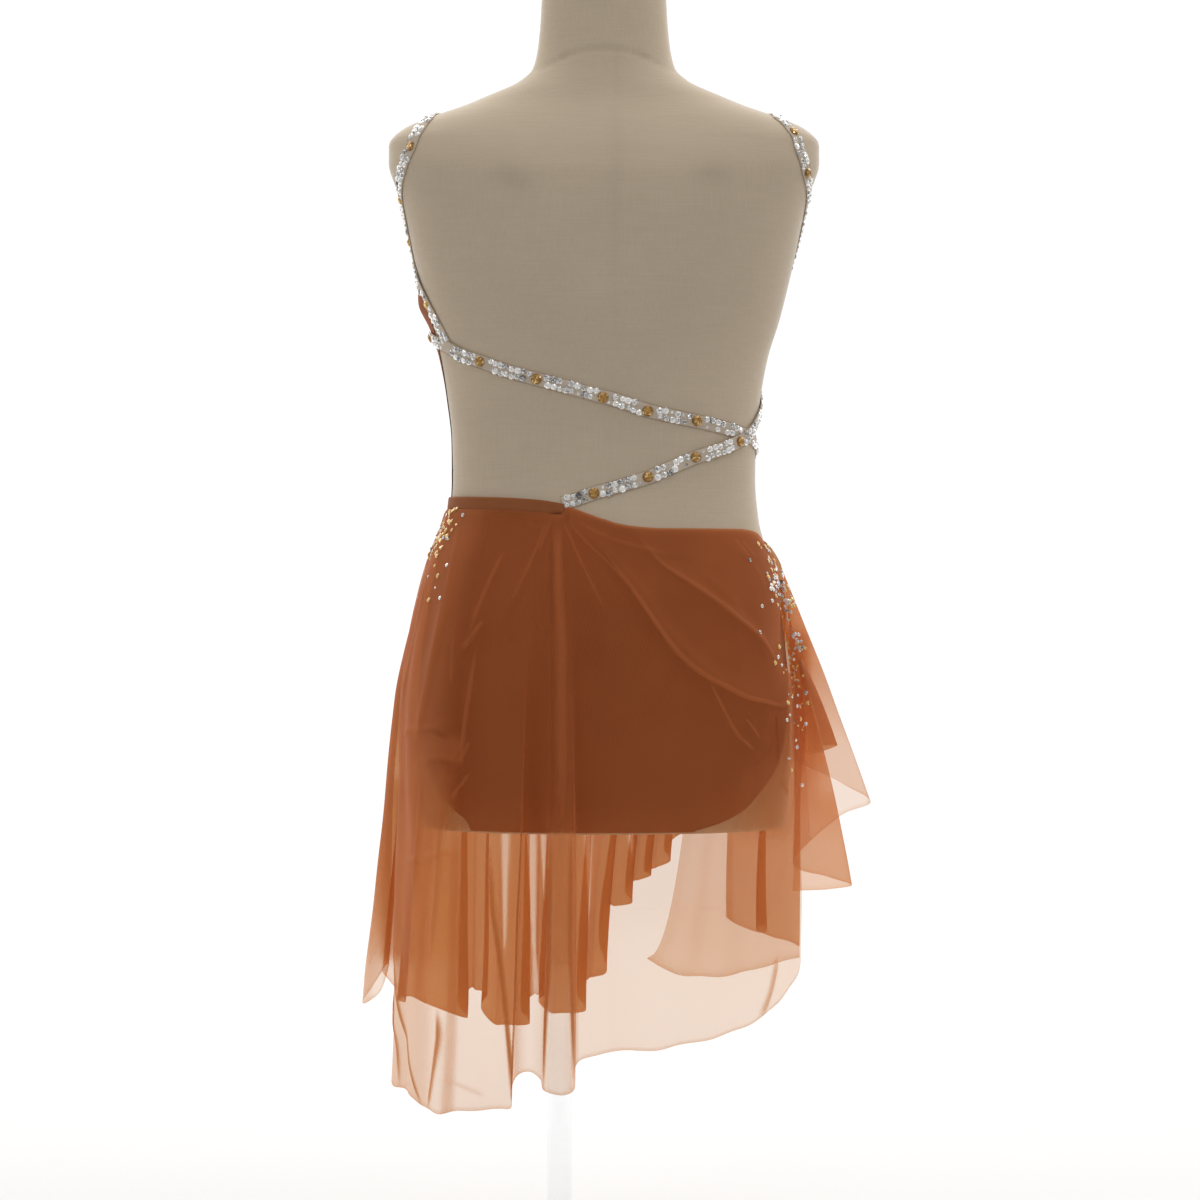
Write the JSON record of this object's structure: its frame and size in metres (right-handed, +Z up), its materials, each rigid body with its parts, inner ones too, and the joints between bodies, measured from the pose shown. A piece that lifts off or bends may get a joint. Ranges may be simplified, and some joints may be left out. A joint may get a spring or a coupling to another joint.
{
  "type": "lyrical dance dress on a limbless dress form",
  "caption": "Backless lyrical dance dress in sheer mesh with stone-set straps, a draped uneven skirt and a hip cascade, on a limbless linen dress form with a clear post and round base.",
  "frame": {"origin": "middle of the round base's underside, on the floor", "axes": "+Z up; the wearer's back faces -Y; +X is the wearer's right side"},
  "size_m": [0.4602, 0.336, 1.214],
  "materials": {
    "linen": "plain-woven undyed linen cover, matte",
    "stand_acrylic": "clear cast acrylic",
    "mesh": "sheer copper-brown stretch power mesh",
    "lining": "opaque brown stretch knit, soft sheen",
    "strap_band": "nude elastic band, thin dark edge",
    "crystal": "clear faceted foil-backed stones",
    "amber_stone": "amber foil-backed round stones"
  },
  "bodies": {
    "root": {"form_torso": "linen", "stand_post": "stand_acrylic", "stand_base": "stand_acrylic", "front_body": "lining", "brief_back": "lining", "waistband": "mesh", "strap_left": "strap_band", "strap_right": "strap_band", "strap_upper": "strap_band", "strap_lower": "strap_band", "skirt_back": "mesh", "skirt_front": "mesh", "panel_front": "mesh", "panel_side": "mesh", "cascade": "mesh", "cascade_small": "mesh"}
  },
  "joints": []
}
